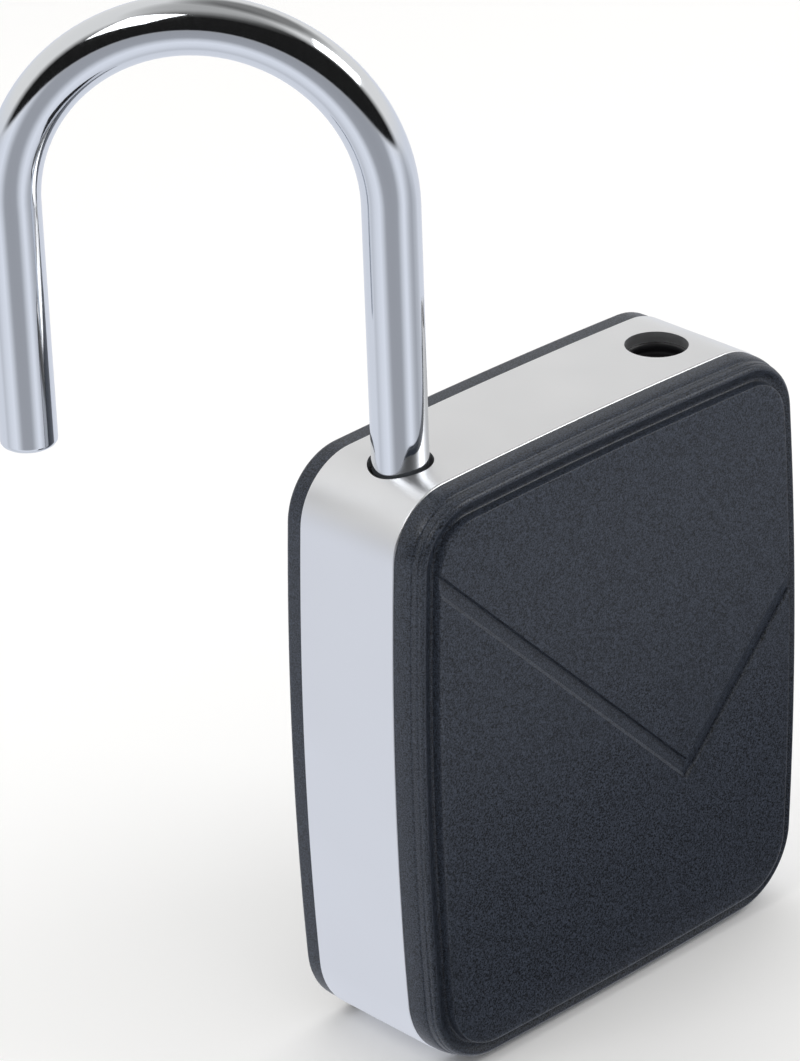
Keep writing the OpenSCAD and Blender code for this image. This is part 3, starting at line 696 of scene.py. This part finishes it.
class LOCK_OT_lift_spring(bpy.types.Operator):
    """Makes the coil spring under the heel leg, which shortens as the shackle goes down"""
    bl_idname = "lock.lift_spring"
    bl_label = "Shackle spring"

    def execute(self, context):
        low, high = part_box("shackle_spring")
        wire = context.scene.lock_sizes.spring_wire
        radius = (high.x - low.x - wire) / 2
        close = 1.05 * wire
        open_turns = SPRING_TURNS - 2
        open_pitch = (high.z - low.z - wire - 2 * close) / open_turns
        bm = bmesh.new()
        bmesh.ops.create_circle(bm, cap_ends=False, segments=WIRE_STEPS, radius=wire / 2,
                                matrix=Matrix.Translation((radius, 0, low.z + wire / 2))
                                @ Matrix.Rotation(pi / 2, 4, "X"))
        first = last = list(bm.edges)
        for count, pitch in ((1, close), (open_turns, open_pitch), (1, close)):
            made = bmesh.ops.spin(bm, geom=last, cent=(0, 0, 0), axis=(0, 0, 1),
                                  angle=2 * pi * count, dvec=(0, 0, pitch / SPRING_STEPS),
                                  steps=SPRING_STEPS * count)
            last = [item for item in made["geom_last"] if isinstance(item, bmesh.types.BMEdge)]
        for rim in (first, last):
            bmesh.ops.contextual_create(bm, geom=rim)
        moved(bm, HEEL_X)
        piece = add_piece("lift_spring_coil", bm, "spring_steel", ["shackle_spring"])
        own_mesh(piece)
        return {"FINISHED"}


class LOCK_OT_works(bpy.types.Operator):
    """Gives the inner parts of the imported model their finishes"""
    bl_idname = "lock.works"
    bl_label = "Inner works"

    def execute(self, context):
        for part in frame["record"]["subparts"]:
            node = NODES[part["node"]]
            node.data.materials.clear()
            node.data.materials.append(finish_for(part["material_slot"]))
        return {"FINISHED"}


def heading(turn, rise):
    """The direction at a bearing from the front and a height over the horizon."""
    return Vector((sin(turn) * cos(rise), -cos(turn) * cos(rise), sin(rise)))


class LOCK_OT_stage(bpy.types.Operator):
    """Sets up the pale floor, the soft studio light and the camera"""
    bl_idname = "lock.stage"
    bl_label = "Stage"

    def execute(self, context):
        scene = context.scene
        scene.view_settings.view_transform = "Standard"
        self.floor()
        self.lights()
        self.camera(scene)
        return {"FINISHED"}

    def sheet(self, name, size, place, material_name, hex_code, roughness):
        """A flat sheet that belongs to the stage."""
        material, _, shader = new_material(material_name)
        shader.inputs["Base Color"].default_value = colour(hex_code)
        shader.inputs["Roughness"].default_value = roughness
        bm = bmesh.new()
        bmesh.ops.create_grid(bm, x_segments=1, y_segments=1, size=size, matrix=place)
        mesh = bpy.data.meshes.new(name)
        bm.to_mesh(mesh)
        bm.free()
        mesh.materials.append(material)
        flat = bpy.data.objects.new(name, mesh)
        bpy.context.scene.collection.objects.link(flat)
        return flat

    def floor(self):
        """The pale floor, and the dark sheet of painted shade that only the gloss of the pieces
        shows.
        """
        floor = self.sheet("studio_floor", 3.0, Matrix(), "pale_paper", "#FAFAFA", 0.9)
        floor.visible_glossy = False
        # Painted shade: a dark sheet that stands in for the shaded floor near the block, seen only
        # in reflections.
        place = Matrix.Translation(SHADE_CARD_AT) @ Matrix.Diagonal((*SHADE_CARD_SIZE, 1.0, 1.0))
        shade_card = self.sheet("painted_shade_card", 0.5, place, "painted_shade_black", "#202226", 1.0)
        shade_card.visible_camera = shade_card.visible_diffuse = shade_card.visible_shadow = False

    def lights(self):
        """A pale surround for the diffuse light; polished metal sees a table, a dim room in
        front, a pale wall behind and two softboxes."""
        world = bpy.data.worlds.new("studio")
        world.use_nodes = True
        bpy.context.scene.world = world
        tree = world.node_tree
        background = tree.nodes["Background"]
        look = add(tree, "ShaderNodeTexCoord")
        axes = add(tree, "ShaderNodeSeparateXYZ", links={"Vector": (look, "Generated")})
        height = self.ranged(tree, axes, "Z", -1.0, 1.0)
        facing = add(tree, "ShaderNodeVectorMath", {"operation": "DOT_PRODUCT", 1: FRONT},
                     {0: (look, "Generated")})
        front = self.ranged(tree, facing, "Value", 0.05, 0.35)
        around = self.ranged(tree, facing, "Value", -1.0, 1.0)
        table = self.greys(tree, around, TABLE)
        behind = self.greys(tree, height, ROOM_BEHIND)
        before = self.greys(tree, height, ROOM_BEFORE)
        room = self.blended(tree, front, behind, before)
        above = self.ranged(tree, axes, "Z", -0.03, 0.03)
        seen, socket = self.blended(tree, above, table, room), "Result"
        for direction, start, full, left in (HIGH_PATCH, LOW_PATCH):
            beside = add(tree, "ShaderNodeVectorMath",
                         {"operation": "DOT_PRODUCT", 1: direction}, {0: (look, "Generated")})
            shade = self.ranged(tree, beside, "Value", start, full, 1.0, left)
            seen = add(tree, "ShaderNodeMath", {"operation": "MULTIPLY"},
                       {0: (seen, socket), 1: (shade, "Result")})
            socket = "Value"
        rays = add(tree, "ShaderNodeLightPath")
        even = add(tree, "ShaderNodeMapRange", {"To Min": SURROUND},
                   {"Value": (rays, "Is Glossy Ray"), "To Max": (seen, "Value")})
        tree.links.new(even.outputs["Result"], background.inputs["Strength"])
        warmth = add(tree, "ShaderNodeValToRGB", links={"Fac": (height, "Result")})
        for element, where, hex_code in zip(warmth.color_ramp.elements, (0.45, 0.6),
                                            ("#F1F5FF", "#FFFEFC")):
            element.position, element.color = where, colour(hex_code)
        tree.links.new(warmth.outputs["Color"], background.inputs["Color"])
        for name, turn, rise, size, radiance in SOFTBOXES:
            spot = AIM + SOFTBOX_DISTANCE * heading(radians(turn), radians(rise))
            light = bpy.data.lights.new(name, "AREA")
            light.shape, light.size, light.size_y = "RECTANGLE", size[0], size[1]
            light.energy = radiance * pi * size[0] * size[1]
            lamp = bpy.data.objects.new(name, light)
            lamp.visible_glossy = name != "back_box"
            lamp.location = spot
            lamp.rotation_euler = (AIM - spot).to_track_quat("-Z", "Y").to_euler()
            bpy.context.scene.collection.objects.link(lamp)

    def ranged(self, tree, source, socket, low, high, to_low=0.0, to_high=1.0):
        """A value's range, low to high, mapped to another range."""
        return add(tree, "ShaderNodeMapRange",
                   {"From Min": low, "From Max": high, "To Min": to_low, "To Max": to_high},
                   {"Value": (source, socket)})

    def greys(self, tree, source, stops):
        """A ramp of greys, whose first and last stops are at 0 and 1."""
        ramp = add(tree, "ShaderNodeValToRGB", links={"Fac": (source, "Result")})
        elements = ramp.color_ramp.elements
        made = [elements[0], *(elements.new(where) for where, _ in stops[1:-1]), elements[-1]]
        for element, (_, grey) in zip(made, stops):
            element.color = (grey, grey, grey, 1.0)
        return ramp

    def blended(self, tree, factor, low, high):
        """One value passing over to another as the factor goes from 0 to 1."""
        return add(tree, "ShaderNodeMapRange", links={
            "Value": (factor, "Result"), "To Min": (low, 0), "To Max": (high, 0)})

    def camera(self, scene):
        """Places the camera from its bearing, height, roll and distance."""
        turn, rise, roll = radians(CAMERA_TURN), radians(CAMERA_RISE), radians(CAMERA_ROLL)
        back = heading(turn, rise)
        flat = Vector((cos(turn), sin(turn), 0))
        upward = back.cross(flat)
        right = cos(roll) * flat + sin(roll) * upward
        up = cos(roll) * upward - sin(roll) * flat
        data = bpy.data.cameras.new("camera")
        data.lens, data.sensor_width = FOCAL_PX * SENSOR_MM / LONG_SIDE_PX, SENSOR_MM
        data.clip_start, data.clip_end = 0.01, 20
        camera = bpy.data.objects.new("camera", data)
        camera.matrix_world = Matrix.Translation(CAMERA_AIM + CAMERA_DISTANCE * back) @ Matrix(
            (right, up, back)).transposed().to_4x4()
        scene.collection.objects.link(camera)
        scene.camera = camera


OPERATORS = (LOCK_OT_band, LOCK_OT_front_cover, LOCK_OT_back_cover, LOCK_OT_shackle,
             LOCK_OT_sleeves, LOCK_OT_lift_spring, LOCK_OT_keyway, LOCK_OT_works, LOCK_OT_stage)


class LOCK_PT_padlock(bpy.types.Panel):
    """Lists the padlock's pieces, sizes and colours"""
    bl_idname = "LOCK_PT_padlock"
    bl_label = "Disc Padlock"
    bl_space_type = "VIEW_3D"
    bl_region_type = "UI"
    bl_category = "Padlock"

    def draw(self, context):
        for operator in OPERATORS:
            self.layout.operator(operator.bl_idname)
        for group in (context.scene.lock_sizes, context.scene.lock_colours):
            for name in group.__annotations__:
                self.layout.prop(group, name)


CLASSES = (LockSizes, LockColours) + OPERATORS + (LOCK_PT_padlock,)


def register():
    for cls in CLASSES:
        bpy.utils.register_class(cls)
    bpy.types.Scene.lock_sizes = bpy.props.PointerProperty(type=LockSizes)
    bpy.types.Scene.lock_colours = bpy.props.PointerProperty(type=LockColours)


def unregister():
    del bpy.types.Scene.lock_colours
    del bpy.types.Scene.lock_sizes
    for cls in reversed(CLASSES):
        bpy.utils.unregister_class(cls)


def main():
    register()
    bpy.ops.lock.works()
    bpy.ops.lock.band()
    bpy.ops.lock.front_cover()
    bpy.ops.lock.back_cover()
    bpy.ops.lock.shackle()
    bpy.ops.lock.sleeves()
    bpy.ops.lock.lift_spring()
    bpy.ops.lock.keyway()
    bpy.ops.lock.stage()


if __name__ == "__main__":
    main()
